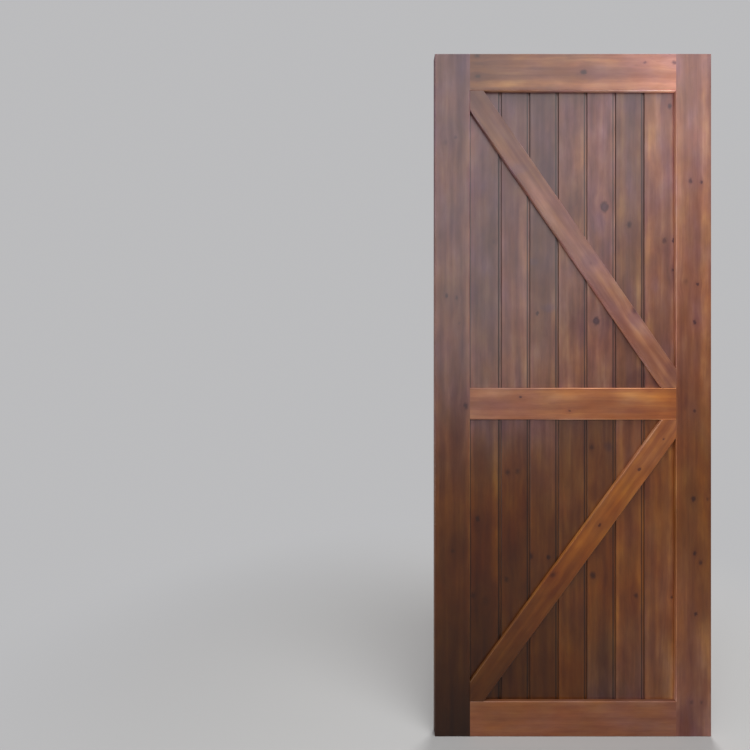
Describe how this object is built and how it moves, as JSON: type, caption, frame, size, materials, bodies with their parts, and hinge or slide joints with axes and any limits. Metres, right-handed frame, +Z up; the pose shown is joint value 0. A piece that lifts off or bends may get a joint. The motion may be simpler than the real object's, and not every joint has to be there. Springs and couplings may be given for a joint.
{
  "type": "sliding barn door",
  "caption": "Barn door slab: a stile-and-rail frame holds upright tongue-and-groove boards under diagonal braces that form a K, with a floor-guide groove along its bottom edge.",
  "frame": {"origin": "middle of the slab's bottom edge, on the surface it would stand on", "axes": "+Z up the slab, +Y through its thickness from the braced front to the back, +X across it to the right as seen from the front"},
  "size_m": [0.864, 0.035, 2.134],
  "materials": {
    "frame_wood": "walnut-brown stain, satin varnish",
    "board_wood": "walnut-brown stain, satin varnish",
    "brace_wood": "walnut-brown stain, satin varnish",
    "screw_steel": "yellow zinc plated"
  },
  "bodies": {
    "root": {"left_stile": "frame_wood", "right_stile": "frame_wood", "top_rail": "frame_wood", "mid_rail": "frame_wood", "bottom_rail": "frame_wood", "upper_board_1": "board_wood", "upper_board_2": "board_wood", "upper_board_3": "board_wood", "upper_board_4": "board_wood", "upper_board_5": "board_wood", "upper_board_6": "board_wood", "upper_board_7": "board_wood", "lower_board_1": "board_wood", "lower_board_2": "board_wood", "lower_board_3": "board_wood", "lower_board_4": "board_wood", "lower_board_5": "board_wood", "lower_board_6": "board_wood", "lower_board_7": "board_wood", "upper_brace": "brace_wood", "lower_brace": "brace_wood", "upper_brace_screws": "screw_steel", "lower_brace_screws": "screw_steel"}
  },
  "joints": []
}
